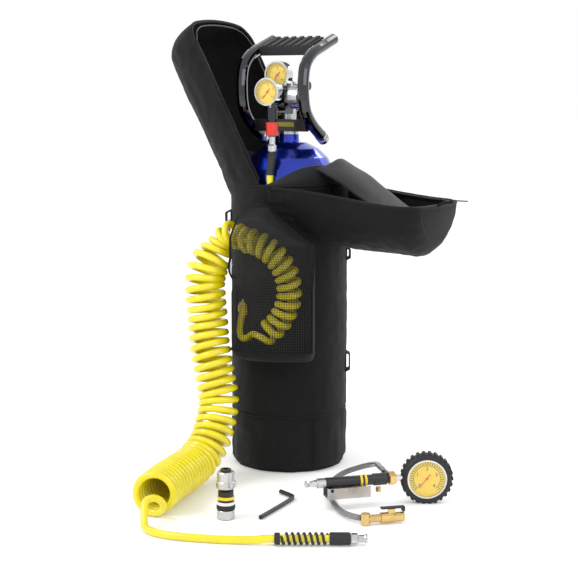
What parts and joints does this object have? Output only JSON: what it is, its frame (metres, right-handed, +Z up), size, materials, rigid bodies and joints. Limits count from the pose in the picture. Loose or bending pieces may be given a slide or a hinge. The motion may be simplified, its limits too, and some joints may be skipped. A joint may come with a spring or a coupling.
{
  "type": "portable compressed gas air pack",
  "caption": "Portable compressed-gas air supply: a cylinder with regulator and carry handle in a soft folding-lid bag, with coiled hose, tyre inflator and tools.",
  "frame": {"origin": "centre of the bag's base, on the surface it stands on", "axes": "+Z up; the lid halves part along the YZ plane, the mesh pocket faces -Y and the carry grip runs along X"},
  "size_m": [0.6292, 0.6333, 0.8297],
  "materials": {
    "blue_tank": "gloss metallic",
    "brass": "satin",
    "black_plastic": "satin",
    "dark_chrome": "polished black chrome",
    "chrome": "polished",
    "red_anodised": "gloss",
    "yellow_dial": "satin print",
    "red_needle": "satin",
    "clear_lens": "clear",
    "black_rubber": "ribbed",
    "black_nylon": "woven coated nylon",
    "black_foam": "matt",
    "black_mesh": "open knitted mesh",
    "black_webbing": "ribbed webbing",
    "yellow_hose": "gloss polyurethane",
    "black_steel": "black oxide",
    "steel_braid": "braided wire"
  },
  "bodies": {
    "pack": {"gas_cylinder": "blue_tank", "cylinder_valve": "brass", "regulator_body": "dark_chrome", "outlet_coupler": "dark_chrome", "low_gauge_case": "chrome", "low_gauge_dial": "yellow_dial", "low_gauge_lens": "clear_lens", "high_gauge_case": "chrome", "high_gauge_dial": "yellow_dial", "high_gauge_lens": "clear_lens", "rail_left": "dark_chrome", "rail_right": "dark_chrome", "rail_cap_left": "chrome", "rail_cap_right": "chrome", "carry_grip": "black_rubber", "base_bracket": "black_plastic", "bag_body": "black_nylon", "bottom_band": "black_nylon", "base_pad": "black_foam", "right_lid_fold": "black_nylon", "mesh_pocket": "black_mesh", "hose_eyelet": "black_rubber", "strap_loop": "black_webbing", "side_tab_upper": "black_webbing", "side_tab_lower": "black_webbing", "hose_plug": "chrome", "hose_inlet_relief": "black_rubber", "hose_lead": "yellow_hose", "pocket_coil": "yellow_hose", "hanging_coil": "yellow_hose", "hose_tail": "yellow_hose", "hose_end_relief": "black_rubber", "hose_end_fitting": "chrome"},
    "left_lid": {"left_lid": "black_nylon"},
    "right_lid": {"right_lid": "black_nylon", "zip_pull": "dark_chrome"},
    "handwheel": {"valve_handwheel": "black_plastic"},
    "bonnet": {"regulator_bonnet": "chrome"},
    "bleed_knob": {"bleed_knob": "black_plastic"},
    "red_sleeve": {"coupler_sleeve": "red_anodised"},
    "low_needle": {"low_gauge_needle": "red_needle"},
    "high_needle": {"high_gauge_needle": "red_needle"},
    "d_ring": {"d_ring": "dark_chrome"},
    "spare_coupler": {"spare_coupler_body": "chrome"},
    "spare_sleeve": {"spare_coupler_sleeve": "chrome"},
    "hex_key": {"hex_key": "black_steel"},
    "inflator": {"inflator_body": "black_plastic", "inflator_plug": "chrome", "inflator_gauge_case": "chrome", "inflator_gauge_boot": "black_rubber", "inflator_gauge_dial": "yellow_dial", "inflator_gauge_lens": "clear_lens", "braided_hose": "steel_braid", "tyre_chuck": "brass"},
    "inflator_lever": {"inflator_lever": "chrome"},
    "bleed_button": {"bleed_button": "brass"},
    "inflator_needle": {"inflator_gauge_needle": "red_needle"},
    "chuck_lever": {"chuck_lever": "black_plastic"}
  },
  "joints": [
    {"name": "left_lid_fold", "type": "hinge", "parent": "pack", "child": "left_lid", "pos_m": [0, 0, 0.53], "axis": [0, 1, 0], "range_deg": [0, 28]},
    {"name": "right_lid_fold", "type": "hinge", "parent": "pack", "child": "right_lid", "pos_m": [0, 0, 0.53], "axis": [0, 1, 0], "range_deg": [-93, 0]},
    {"name": "valve_turn", "type": "hinge", "parent": "pack", "child": "handwheel", "pos_m": [0, 0.0378, 0.668], "axis": [0, 1, 0], "range_deg": [0, 720]},
    {"name": "bonnet_turn", "type": "hinge", "parent": "pack", "child": "bonnet", "pos_m": [0.034, -0.034, 0.69], "axis": [1, 0, 0], "range_deg": [-360, 720]},
    {"name": "bleed_knob_turn", "type": "hinge", "parent": "pack", "child": "bleed_knob", "pos_m": [0.037, -0.003, 0.711], "axis": [1, 0, 0], "range_deg": [0, 180]},
    {"name": "red_sleeve_slide", "type": "slide", "parent": "pack", "child": "red_sleeve", "axis": [0, 0, 1], "range_m": [0, 0.004], "stiffness_N_per_m": 800, "springref_m": -0.0005},
    {"name": "low_needle_turn", "type": "hinge", "parent": "pack", "child": "low_needle", "pos_m": [-0.003, -0.0737, 0.7], "axis": [0, 1, 0], "range_deg": [0, 270], "stiffness_Nm_per_rad": 0.002, "springref_deg": -2.86},
    {"name": "high_needle_turn", "type": "hinge", "parent": "pack", "child": "high_needle", "pos_m": [0, -0.0427, 0.731], "axis": [0, 1, 0], "range_deg": [0, 270], "stiffness_Nm_per_rad": 0.002, "springref_deg": -2.86},
    {"name": "d_ring_swing", "type": "hinge", "parent": "pack", "child": "d_ring", "pos_m": [-0.10095, -0.05144, 0.459], "axis": [0.454, -0.891, 0], "range_deg": [-140, 0]},
    {"name": "spare_coupler_lift", "type": "slide", "parent": "pack", "child": "spare_coupler", "axis": [0, 0, 1], "range_m": [0, 0.25]},
    {"name": "spare_sleeve_slide", "type": "slide", "parent": "spare_coupler", "child": "spare_sleeve", "axis": [0, 0, -1], "range_m": [0, 0.004], "stiffness_N_per_m": 800, "springref_m": -0.0005},
    {"name": "hex_key_lift", "type": "slide", "parent": "pack", "child": "hex_key", "axis": [0, 0, 1], "range_m": [0, 0.25]},
    {"name": "inflator_lift", "type": "slide", "parent": "pack", "child": "inflator", "axis": [0, 0, 1], "range_m": [0, 0.25]},
    {"name": "inflator_lever_squeeze", "type": "hinge", "parent": "inflator", "child": "inflator_lever", "pos_m": [0.2226, -0.24648, 0.034], "axis": [-0.7046, 0.7096, 0], "range_deg": [-6, 0], "stiffness_Nm_per_rad": 1.5, "springref_deg": 1.15},
    {"name": "bleed_button_press", "type": "slide", "parent": "inflator", "child": "bleed_button", "axis": [0, 0, 1], "range_m": [0, 0.0015], "stiffness_N_per_m": 600, "springref_m": -0.0005},
    {"name": "inflator_needle_turn", "type": "hinge", "parent": "inflator", "child": "inflator_needle", "pos_m": [0.35485, -0.14123, 0.0432], "axis": [-0.5, 0.866, 0], "range_deg": [0, 270], "stiffness_Nm_per_rad": 0.002, "springref_deg": -2.86},
    {"name": "chuck_lever_press", "type": "hinge", "parent": "inflator", "child": "chuck_lever", "pos_m": [0.34762, -0.26656, 0.0263], "axis": [-0.6896, 0.7242, 0], "range_deg": [-10, 0], "stiffness_Nm_per_rad": 0.3, "springref_deg": 2.86}
  ]
}
